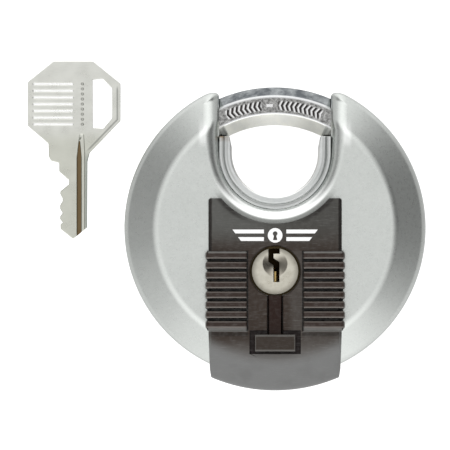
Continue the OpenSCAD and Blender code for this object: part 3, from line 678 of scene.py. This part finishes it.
def plastic(name, part):
    k = Nodes(name)
    o = k.xyz()
    ax = k.math("ABSOLUTE", o[0])
    fine = k.noise(9.0, 2.0, 0.65)
    mid = k.noise(0.9, 4.0, 0.6)
    wide = k.noise(0.16, 3.0, 0.5)
    if part == "cover":
        rad = k.math("SQRT", k.math("ADD", k.math("MULTIPLY", o[0], o[0]), k.math("MULTIPLY", o[1], o[1])))
        # greyer and lighter towards the top left, browner in the middle, lighter below the tab; painted light from
        # below makes the lower bevel pale
        col = k.mix(k.mapr(o[1], -6.5, 1.5, 0.0, 1.0, True), (0.032, 0.0215, 0.0155), (0.054, 0.052, 0.047))
        col = k.mix(k.math("MULTIPLY", k.mapr(o[0], 6.0, -8.0, 0.0, 0.55, True), k.mapr(o[1], -5.0, 1.0, 0.0, 1.0, True)), col, (0.108, 0.110, 0.103))
        col = k.mix(k.math("MULTIPLY", k.mapr(o[0], 2.6, 4.5, 0.0, 0.6, True), k.math("LESS_THAN", o[1], -5.4)), col, (0.068, 0.060, 0.053))
        col = k.mix(k.mapr(o[1], -25.0, -29.6, 0.0, 1.0, True), col, (0.105, 0.097, 0.090))
        col = k.mix(k.mapr(rad, 28.6, 32.4, 0.0, 1.0, True), col, (0.168, 0.170, 0.168))
        # painted shade on the moulded side edges and the sides below them
        side = k.math("MULTIPLY", k.mapr(ax, 14.45, 14.85, 0.0, 0.85, True), k.math("GREATER_THAN", o[1], -23.5))
        col = k.mix(side, col, (0.010, 0.006, 0.004))
        # ribs: painted highlights along their edges, painted shade in the grooves between them
        c = k.math("FRACT", k.math("DIVIDE", k.math("SUBTRACT", -5.18, o[1]), 2.29))
        rib_highlight_and_shade = k.ramp(c, [(0.0, (0.0, 0.0, 0.0)), (0.13, (0.0, 0.0, 0.0)), (0.19, (0.102, 0.086, 0.076)), (0.25, (0.102, 0.086, 0.076)), (0.34, (0.026, 0.0150, 0.0110)),
                         (0.66, (0.028, 0.0165, 0.0120)), (0.75, (0.160, 0.143, 0.130)), (0.83, (0.160, 0.143, 0.130)), (0.87, (0.0, 0.0, 0.0)), (1.0, (0.0, 0.0, 0.0))])
        grip = k.math("MULTIPLY", k.math("GREATER_THAN", ax, 6.48), k.math("MULTIPLY", k.math("LESS_THAN", o[1], -5.35), k.math("GREATER_THAN", o[1], -23.8)))
        grip = k.math("MULTIPLY", grip, k.math("GREATER_THAN", o[2], 27.0))
        col = k.mix(grip, col, rib_highlight_and_shade)
        # painted shade where the grips stand on the panel and below their lower ends, painted highlights along the top
        # and bottom ends of the grips
        inner = k.math("MULTIPLY", k.math("LESS_THAN", k.math("ABSOLUTE", k.math("SUBTRACT", ax, 6.42)), 0.20), k.math("MULTIPLY", k.math("LESS_THAN", o[1], -5.2), k.math("GREATER_THAN", o[1], -23.9)))
        under = k.math("MULTIPLY", k.math("GREATER_THAN", ax, 6.2), k.math("MULTIPLY", k.mapr(o[1], -24.05, -24.3, 0.0, 1.0), k.mapr(o[1], -25.4, -24.7, 0.0, 1.0, True)))
        grip_end_highlight = k.math("MAXIMUM", k.math("LESS_THAN", k.math("ABSOLUTE", k.math("ADD", o[1], 23.62)), 0.42), k.math("LESS_THAN", k.math("ABSOLUTE", k.math("ADD", o[1], 5.62)), 0.20))
        grip_end_highlight = k.math("MULTIPLY", grip_end_highlight, k.math("MULTIPLY", k.math("GREATER_THAN", ax, 6.5), k.math("LESS_THAN", ax, 15.6)))
        col = k.mix(k.math("MULTIPLY", grip_end_highlight, 0.9), col, (0.150, 0.146, 0.138))
        col = k.mix(k.math("MULTIPLY", k.math("MAXIMUM", inner, k.math("MULTIPLY", under, 0.6)), 0.9), col, (0.004, 0.003, 0.002))
        # painted shade in the pocket of the shutter and on everything below the panel
        pocket = k.math("MULTIPLY", k.math("LESS_THAN", ax, 5.95), k.math("MULTIPLY", k.math("LESS_THAN", o[1], -23.7), k.math("GREATER_THAN", o[1], -29.2)))
        recess_shade = k.math("MULTIPLY", k.mapr(o[2], 28.42, 28.2, 0.0, 1.0, True), k.math("LESS_THAN", rad, 30.0))
        col = k.mix(k.math("MAXIMUM", k.math("MULTIPLY", pocket, 0.93), k.math("MULTIPLY", recess_shade, k.math("LESS_THAN", ax, 6.3))), col, (0.006, 0.0015, 0.0010))
        # shadowed ends of the curved top edge
        ty = k.math("SUBTRACT", o[1], 17.35)
        rt = k.math("SQRT", k.math("ADD", k.math("MULTIPLY", o[0], o[0]), k.math("MULTIPLY", ty, ty)))
        arc = k.math("MULTIPLY", k.mapr(rt, 16.85, 17.7, 1.0, 0.0, True), k.mapr(ax, 5.0, 10.0, 0.1, 0.72, True))
        col = k.mix(arc, col, (0.006, 0.004, 0.003))
        amount = 0.10
    else:
        # painted shade: the stem in its slot is darker than the tab, darkest along both sides of the stem
        col = k.mix(k.mapr(o[1], -24.4, -24.9, 0.0, 1.0, True), (0.014, 0.0035, 0.0010), (0.031, 0.0225, 0.0170))
        col = k.mix(k.math("MULTIPLY", k.mapr(ax, 1.25, 1.7, 0.0, 0.8, True), k.math("GREATER_THAN", o[1], -24.5)), col, (0.003, 0.002, 0.001))
        # painted highlights along the edges of the thumb tab
        tab_edge_highlight = k.math("MAXIMUM", k.mapr(o[1], -25.25, -25.05, 0.0, 1.0, True), k.mapr(o[1], -28.1, -28.3, 0.0, 1.0, True))
        tab_edge_highlight = k.math("MAXIMUM", tab_edge_highlight, k.mapr(ax, 4.35, 4.5, 0.0, 0.75, True))
        tab_edge_highlight = k.math("MULTIPLY", tab_edge_highlight, k.math("GREATER_THAN", o[2], 28.9))
        col = k.mix(k.math("MULTIPLY", tab_edge_highlight, 0.9), col, (0.110, 0.104, 0.096))
        amount = 0.06
    col = k.mix(k.mapr(mid, 0.45, 0.75, 0.0, amount * 1.6), col, (0.16, 0.155, 0.15))
    hair = k.noise(1.0, 3.0, 0.5, k.scaled((0.5, 6.0, 1.0), (0.4, 1.3, 0)))
    col = k.mix(k.mapr(hair, 0.56, 0.74, 0.0, amount * 1.3), col, (0.34, 0.34, 0.33))
    col = k.mix(k.mapr(wide, 0.42, 0.28, 0.0, 0.12), col, (0.02, 0.016, 0.013))
    dust = k.ramp(k.noise(2.4, 3.0, 0.7), [(0.0, 0.0), (0.69, 0.0), (0.74, 1.0)])
    col = k.mix(k.math("MULTIPLY", dust, amount * 1.5), col, (0.45, 0.45, 0.44))
    rough = k.mapr(mid, 0.3, 0.7, 0.36, 0.50)
    nrm = k.bump(fine, 0.012, 1.0, k.bevel(0.10))
    if part == "cover":
        # the narrow side chamfer gets a shading normal that faces straight up, like the flat panel
        cz = k.math("MULTIPLY", k.mapr(ax, 14.62, 14.85, 0.0, 0.8, True), k.math("GREATER_THAN", o[2], 26.35))
        cz = k.math("MULTIPLY", cz, k.math("MULTIPLY", k.math("GREATER_THAN", o[1], -5.3), k.math("LESS_THAN", rad, 28.0)))
        flat_n = k.t.nodes.new("ShaderNodeMix")
        flat_n.data_type = "VECTOR"
        k.link(cz, flat_n.inputs[0])
        k.link(nrm, flat_n.inputs[4])
        flat_n.inputs[5].default_value = (0.0, 0.0, 1.0)
        nrm = flat_n.outputs[1]
    return k.finish(col, rough, 0.0, nrm, spec=0.2)


M["cover_plastic"] = plastic("cover_black", "cover")
M["shutter_plastic"] = plastic("shutter_black", "shutter")


def printed():
    k = Nodes("printed_mark")
    wear_and_reflection_mottle = k.ramp(k.noise(4.5, 4.0, 0.7), [(0.0, 1.0), (0.66, 1.0), (0.74, 0.55)])
    col = k.mix(k.math("SUBTRACT", 1.0, wear_and_reflection_mottle), (0.93, 0.93, 0.93), (0.30, 0.30, 0.30))
    return k.finish(col, 0.45, 0.0, k.bump(k.noise(11.0), 0.006))


M["mark_print"] = printed()


def chrome():
    k = Nodes("chromed")
    o = k.xyz()
    smudge = k.noise(0.45, 4.0, 0.6)
    fine = k.noise(6.0, 2.0, 0.6)
    hair = k.noise(1.0, 3.0, 0.5, k.scaled((1.2, 10.0, 6.0)))
    rad = k.math("SQRT", k.math("ADD", k.math("MULTIPLY", o[0], o[0]), k.math("MULTIPLY", o[1], o[1])))
    ang = k.math("DEGREES", k.math("ARCTAN2", o[1], o[0]))
    zz = k.math("ABSOLUTE", k.math("SUBTRACT", o[2], 13.0))
    col = k.mix(k.mapr(smudge, 0.35, 0.7, 0.0, 1.0), (0.74, 0.75, 0.76), (0.84, 0.845, 0.84))
    # painted reflections: a dark outer facet with paler patches, and a darker, mottled front flat
    outer = k.math("MULTIPLY", k.mapr(rad, 30.70, 30.95, 0.0, 1.0, True), k.mapr(zz, 4.30, 4.15, 0.0, 1.0, True))
    outer = k.math("MULTIPLY", outer, k.mapr(zz, 1.6, 1.9, 0.35, 1.0, True))
    cv = k.t.nodes.new("ShaderNodeCombineXYZ")
    k.link(k.math("MULTIPLY", ang, 0.16), cv.inputs[0])
    k.link(k.math("MULTIPLY", rad, 0.55), cv.inputs[1])
    patch = k.noise(1.0, 4.0, 0.65, cv.outputs[0])
    col = k.mix(outer, col, k.mix(k.mapr(patch, 0.38, 0.66, 0.0, 1.0), (0.105, 0.115, 0.125), (0.36, 0.38, 0.385)))
    front = k.math("MULTIPLY", k.mapr(zz, 4.36, 4.41, 0.0, 1.0, True), k.math("MULTIPLY", k.mapr(rad, 26.75, 26.95, 0.0, 1.0, True), k.mapr(rad, 30.35, 30.15, 0.0, 1.0, True)))
    wear_and_reflection_mottle = k.noise(1.6, 4.0, 0.7)
    col = k.mix(front, col, k.mix(k.mapr(wear_and_reflection_mottle, 0.38, 0.62, 0.0, 1.0), (0.17, 0.17, 0.165), (0.56, 0.56, 0.55)))
    # two stamped rows of slanted strokes along the front flat, a short dash between them; a darker band behind them,
    # painted shade on the stroke floors and painted highlights (glints) at the stroke edges
    off = k.math("SUBTRACT", rad, 28.5)
    lean = k.math("MULTIPLY", k.math("ABSOLUTE", off), 0.9)
    cell = k.math("FRACT", k.math("DIVIDE", k.math("ADD", ang, lean), 2.15))
    stroke = k.ramp(cell, [(0.0, 0.0), (0.18, 0.0), (0.24, 1.0), (0.58, 1.0), (0.63, 0.0), (1.0, 0.0)])
    glint = k.ramp(cell, [(0.0, 1.0), (0.08, 0.0), (0.62, 0.0), (0.68, 1.0), (0.88, 1.0), (1.0, 0.6)])
    rough_edge = k.math("MULTIPLY", k.math("SUBTRACT", k.noise(2.2, 3.0, 0.7), 0.5), 0.9)
    band = k.mapr(k.math("ADD", k.math("ABSOLUTE", off), rough_edge), 1.00, 1.22, 1.0, 0.0, True)
    away = k.math("ABSOLUTE", k.math("SUBTRACT", ang, 92.5))
    span = k.math("MULTIPLY", k.mapr(away, 3.6, 4.0, 0.0, 1.0, True), k.math("MULTIPLY", k.mapr(ang, 113.0, 113.8, 1.0, 0.0, True), k.mapr(ang, 68.0, 67.3, 1.0, 0.0, True)))
    area_ = k.math("MULTIPLY", k.math("MULTIPLY", band, span), k.math("GREATER_THAN", o[2], 17.2))
    dash = k.math("MULTIPLY", k.math("LESS_THAN", away, 1.5), k.math("MULTIPLY", k.math("LESS_THAN", k.math("ABSOLUTE", off), 0.32), k.math("GREATER_THAN", o[2], 17.2)))
    mark = k.math("MULTIPLY", k.math("MAXIMUM", k.math("MULTIPLY", stroke, 0.6), k.math("LESS_THAN", o[2], 17.39)), area_)
    col = k.mix(k.math("MULTIPLY", area_, 0.45), col, (0.10, 0.10, 0.10))
    col = k.mix(k.math("MULTIPLY", mark, 0.97), col, (0.022, 0.018, 0.017))
    col = k.mix(k.math("MULTIPLY", k.math("MULTIPLY", glint, area_), 0.95), col, (1.0, 1.0, 1.0))
    col = k.mix(k.math("MULTIPLY", dash, 0.95), col, (0.95, 0.95, 0.95))
    # painted shade dulls the highlight on the corner between the flats; a warm painted reflection brightens the facet
    # facing the throat
    edge_ = k.math("MULTIPLY", k.mapr(k.math("ABSOLUTE", k.math("SUBTRACT", rad, 30.48)), 0.12, 0.32, 1.0, 0.0, True), k.mapr(zz, 3.95, 4.15, 0.0, 0.30, True))
    col = k.mix(edge_, col, (0.20, 0.205, 0.21))
    inner = k.math("MULTIPLY", k.mapr(rad, 26.65, 26.45, 0.0, 1.0, True), k.math("GREATER_THAN", zz, 1.5))
    col = k.mix(k.math("MULTIPLY", inner, k.mapr(smudge, 0.35, 0.7, 0.40, 0.80)), col, (0.96, 0.955, 0.90))
    rough = k.math("ADD", k.mapr(k.math("ADD", k.math("MULTIPLY", smudge, 0.5), k.math("MULTIPLY", hair, 0.5)), 0.35, 0.65, 0.12, 0.22), k.math("MULTIPLY", mark, 0.25))
    return k.finish(col, rough, 1.0, k.bump(fine, 0.003, 0.8))


M["shackle_chrome"] = chrome()


def plug_face():
    k = Nodes("plug_nickel")
    o = k.xyz()
    fine = k.noise(8.0, 2.0, 0.6)
    dy = k.math("ADD", o[1], 10.0)
    rad = k.math("SQRT", k.math("ADD", k.math("MULTIPLY", o[0], o[0]), k.math("MULTIPLY", dy, dy)))
    turn = k.math("SINE", k.math("MULTIPLY", rad, 46.0))
    mid = k.noise(0.9, 4.0, 0.6)
    col = k.mix(k.mapr(mid, 0.35, 0.7, 0.0, 1.0), (0.55, 0.525, 0.445), (0.64, 0.615, 0.535))
    # painted shade towards the rim, and in the countersink on both sides of the keyway
    col = k.mix(k.mapr(rad, 3.9, 5.35, 0.0, 0.62, True), col, (0.20, 0.185, 0.15))
    cy = k.math("ADD", o[1], 8.4)
    dish = k.mapr(k.math("SQRT", k.math("ADD", k.math("MULTIPLY", o[0], o[0]), k.math("MULTIPLY", cy, cy))), 2.65, 3.0, 1.0, 0.0, True)
    dish = k.math("MULTIPLY", dish, k.math("MULTIPLY", k.mapr(o[1], -6.2, -7.2, 0.0, 1.0, True), k.mapr(k.math("ABSOLUTE", o[0]), 0.3, 1.4, 0.35, 1.0, True)))
    col = k.mix(k.math("MULTIPLY", dish, 0.55), col, (0.17, 0.145, 0.115))
    # painted shade on the sides of the plug below its face
    recess_shade = k.mapr(o[2], 24.2, 25.3, 1.0, 0.0, True)
    col = k.mix(recess_shade, col, (0.035, 0.024, 0.012))
    rough = k.mapr(mid, 0.3, 0.7, 0.26, 0.36)
    h = k.math("ADD", fine, k.math("MULTIPLY", turn, 0.25))
    return k.finish(col, rough, 1.0, k.bump(h, 0.004, 1.0, k.bevel(0.12)))


M["plug_nickel"] = plug_face()


def key_metal():
    k = Nodes("key_nickel")
    o = k.xyz()
    fine = k.noise(7.0, 2.0, 0.6)
    mid = k.noise(0.35, 3.0, 0.5)
    brush = k.noise(1.0, 3.0, 0.5, k.scaled((0.6, 7.0, 1.0)))
    col = k.mix(k.mapr(mid, 0.35, 0.65, 0.0, 1.0), (0.66, 0.665, 0.62), (0.70, 0.705, 0.66))
    col = k.mix(k.mapr(brush, 0.50, 0.75, 0.0, 0.30), col, (0.80, 0.80, 0.76))
    col = k.mix(k.mapr(o[1], 24.0, 19.0, 0.0, 0.45, True), col, (0.50, 0.51, 0.42))
    up = k.math("GREATER_THAN", o[2], 1.0)
    # polished floors of the seven bars on the bow, painted near white as a highlight
    bars = k.math("MULTIPLY", k.math("LESS_THAN", o[2], 1.86), k.math("MULTIPLY", up, k.math("MULTIPLY", k.math("LESS_THAN", o[0], -46.9), k.math("GREATER_THAN", o[1], 23.0))))
    bars = k.math("MULTIPLY", bars, k.math("GREATER_THAN", o[0], -56.6))
    col = k.mix(k.math("MULTIPLY", bars, 0.82), col, (1.0, 1.0, 1.0))
    # brown residue in the side groove; painted shade across the stepped edge beside it, darker towards its right side
    blade = k.math("LESS_THAN", o[1], 22.2)
    step = k.math("MULTIPLY", k.mapr(o[1], 18.5, 15.0, 0.0, 1.0, True), k.mapr(o[0], -44.45, -43.9, 0.06, 0.85, True))
    step = k.math("MULTIPLY", step, k.math("GREATER_THAN", o[0], -45.1))
    col = k.mix(k.math("MULTIPLY", step, up), col, (0.33, 0.36, 0.33))
    groove = k.math("MULTIPLY", k.mapr(o[2], 1.45, 1.66, 1.0, 0.0, True), k.math("MULTIPLY", up, k.math("LESS_THAN", k.math("ABSOLUTE", k.math("ADD", o[0], 45.66)), 0.62)))
    groove = k.math("MULTIPLY", groove, blade)
    col = k.mix(k.math("MULTIPLY", groove, 0.94), col, (0.135, 0.085, 0.032))
    # the raised pips are a little darker
    cy = k.math("FRACT", k.math("DIVIDE", o[1], 1.18))
    ey = k.math("MULTIPLY", k.math("SUBTRACT", cy, 0.5), 1.18)
    ex = k.math("ADD", o[0], 44.9)
    dot = k.mapr(k.math("SQRT", k.math("ADD", k.math("MULTIPLY", ex, ex), k.math("MULTIPLY", ey, ey))), 0.30, 0.40, 1.0, 0.0, True)
    dot = k.math("MULTIPLY", dot, k.math("MULTIPLY", k.math("MULTIPLY", k.math("LESS_THAN", o[1], 34.2), k.math("GREATER_THAN", o[1], 23.6)), k.math("GREATER_THAN", o[2], 1.95)))
    col = k.mix(k.math("MULTIPLY", dot, 0.55), col, (0.30, 0.30, 0.28))
    # painted shade: a dark line along the right-hand edge of the bow stands in for a fine raised line that is not
    # modelled
    d1 = k.math("SUBTRACT", -36.0, o[0])
    d2 = k.math("SUBTRACT", k.math("MULTIPLY", k.math("SUBTRACT", o[1], 25.0), 0.692), k.math("MULTIPLY", k.math("ADD", o[0], 36.0), 0.721))
    bow_edge_shade = k.mapr(k.math("ABSOLUTE", k.math("SUBTRACT", k.math("MINIMUM", d1, d2), 0.74)), 0.10, 0.28, 1.0, 0.0, True)
    bow_edge_shade = k.math("MULTIPLY", bow_edge_shade, k.math("MULTIPLY", k.mapr(o[1], 17.6, 18.8, 0.0, 1.0, True), k.mapr(o[1], 33.4, 32.2, 0.0, 1.0, True)))
    bow_edge_shade = k.math("MULTIPLY", bow_edge_shade, k.math("GREATER_THAN", o[2], 1.9))
    col = k.mix(k.math("MULTIPLY", bow_edge_shade, 0.62), col, (0.22, 0.225, 0.21))
    rough = k.mapr(mid, 0.3, 0.7, 0.26, 0.34)
    return k.finish(col, rough, 1.0, k.bump(fine, 0.001, 1.0, k.bevel(0.12)))


M["key_nickel"] = key_metal()

slots = {s["node"]: s["material_slot"] for s in frame["record"]["subparts"]}
for n, o in N.items():
    o.data.materials.clear()
    o.data.materials.append(M[slots[n]])
for o, s in ((shell_f, "stainless_shell"), (shell_r, "stainless_shell"), (sh, "shackle_chrome"), (cover, "cover_plastic"),
             (shutter, "shutter_plastic"), (keyo, "key_nickel"), (liner, "liner_steel"), (pips, "key_nickel")):
    o.data.materials.clear()
    o.data.materials.append(M[s])

# ------------------------------------------------------------------ stage, light, camera
fm = Nodes("floor_paper")
pn = fm.noise(0.35, 3.0, 0.5)
fcol = fm.mix(fm.mapr(pn, 0.3, 0.7, 0.0, 1.0), (0.48, 0.48, 0.48), (0.50, 0.50, 0.50))
fm.finish(fcol, 0.9, 0.0, fm.bump(fm.noise(2.5), 0.003))
fm.b.inputs["Emission Color"].default_value = (1, 1, 1, 1)
fm.b.inputs["Emission Strength"].default_value = 0.95
bpy.ops.mesh.primitive_plane_add(size=6, location=(0, 0, -0.00002))
floor = bpy.context.object
floor.name = "studio_floor"
floor.data.materials.append(fm.m)
floor.visible_glossy = False

world = bpy.data.worlds.new("studio")
bpy.context.scene.world = world
world.use_nodes = True
wt = world.node_tree
wt.nodes.clear()
wo = wt.nodes.new("ShaderNodeOutputWorld")
wb = wt.nodes.new("ShaderNodeBackground")
wt.links.new(wb.outputs[0], wo.inputs[0])
tc = wt.nodes.new("ShaderNodeTexCoord")
sp = wt.nodes.new("ShaderNodeSeparateXYZ")
wt.links.new(tc.outputs["Generated"], sp.inputs[0])


def wm(op, a, b=0.0, clamp=False):
    n = wt.nodes.new("ShaderNodeMath")
    n.operation = op
    n.use_clamp = clamp
    for i, v in enumerate((a, b)):
        if isinstance(v, (int, float)):
            n.inputs[i].default_value = v
        else:
            wt.links.new(v, n.inputs[i])
    return n.outputs[0]


X, Y, Z = sp.outputs
turn = wm("ADD", wm("DIVIDE", wm("ARCTAN2", Y, X), 2 * pi), 0.5)          # 0 at -180 degrees, 1 at 180


def lin(t):
    t /= 255.0
    return ((t + 0.055) / 1.055) ** 2.4


def ring(stops):
    """Brightness round the horizon: (azimuth in degrees, grey level of a satin steel surface that mirrors it)."""
    n = wt.nodes.new("ShaderNodeValToRGB")
    n.color_ramp.interpolation = "EASE"
    wt.links.new(turn, n.inputs[0])
    e = n.color_ramp.elements
    while len(e) > 1:
        e.remove(e[-1])
    for i, (az, t) in enumerate(stops):
        c = lin(t) / STEEL / 4.0
        p = (az + 180.0) / 360.0
        k = e[0] if i == 0 else e.new(p)
        k.position, k.color = p, (c, c, c, 1)
    return wm("MULTIPLY", n.outputs[0], 4.0)


def blend(a, b, z0, z1):
    n = wt.nodes.new("ShaderNodeMapRange")
    n.clamp = True
    wt.links.new(Z, n.inputs[0])
    for i, v in enumerate((z0, z1, 0.0, 1.0)):
        n.inputs[i + 1].default_value = v
    m = wt.nodes.new("ShaderNodeMix")
    m.data_type = "FLOAT"
    wt.links.new(n.outputs[0], m.inputs[0])
    for k, v in ((2, a), (3, b)):
        if isinstance(v, (int, float)):
            m.inputs[k].default_value = v
        else:
            wt.links.new(v, m.inputs[k])
    return m.outputs[0]


STEEL = 0.64
low = ring([(-180, 176), (-150, 200), (-120, 222), (-60, 224), (-30, 192), (0, 164), (30, 164), (55, 214), (90, 244), (120, 226), (150, 176), (180, 176)])
wall = ring([(-180, 114), (-150, 166), (-125, 210), (-90, 240), (-60, 236), (-45, 208), (-30, 138), (-10, 84), (10, 74), (30, 74), (45, 112), (60, 226), (90, 252),
             (120, 220), (134, 142), (150, 96), (180, 114)])
high = ring([(-180, 188), (-150, 224), (-125, 252), (-90, 253), (-50, 253), (-35, 220), (-20, 160), (0, 96), (15, 80), (30, 116), (45, 225), (60, 252), (90, 255),
             (120, 252), (140, 190), (160, 172), (180, 188)])
upper = ring([(-180, 208), (-150, 230), (-125, 252), (-60, 252), (-30, 218), (0, 156), (20, 142), (40, 208), (60, 252), (120, 252), (145, 210), (180, 208)])
sky = blend(0.75, low, -0.9, -0.25)
sky = blend(sky, wall, 0.22, 0.50)
sky = blend(sky, high, 0.50, 0.77)
sky = blend(sky, upper, 0.77, 0.91)
sky = blend(sky, 1.04, 0.91, 0.965)
sky = blend(sky, 0.82, 0.972, 0.99)
wt.links.new(sky, wb.inputs["Color"])
wb.inputs["Strength"].default_value = 1.0


def area(name, loc, size, power, glossy, spread=180, color=(1, 1, 1)):
    d = bpy.data.lights.new(name, "AREA")
    d.shape = "RECTANGLE"
    d.size, d.size_y = size
    d.energy = power
    d.color = color
    d.spread = math.radians(spread)
    o = bpy.data.objects.new(name, d)
    bpy.context.scene.collection.objects.link(o)
    o.location = loc
    o.rotation_mode = "QUATERNION"
    o.rotation_quaternion = (Vector((0, 0, 0.013)) - Vector(loc)).to_track_quat("-Z", "Y")
    o.visible_glossy = glossy
    return o


area("soft_top", (-0.25, 0.35, 1.1), (1.0, 1.0), 2.0, False)

cam_d = bpy.data.cameras.new("camera")
cam = bpy.data.objects.new("camera", cam_d)
bpy.context.scene.collection.objects.link(cam)
bpy.context.scene.camera = cam
cam.location = (-0.01162, 0.0007, 4.0)
cam.rotation_euler = (0, 0, 0)
cam_d.sensor_width = 36.0
cam_d.lens = 36.0 * (4.0 - 0.013) / 0.1047
cam_d.clip_start, cam_d.clip_end = 0.05, 20
cam_d.dof.use_dof = False
sc = bpy.context.scene
sc.view_settings.view_transform = "Standard"
sc.view_settings.look = "None"
sc.view_settings.exposure = 0.0
sc.view_settings.gamma = 1.0
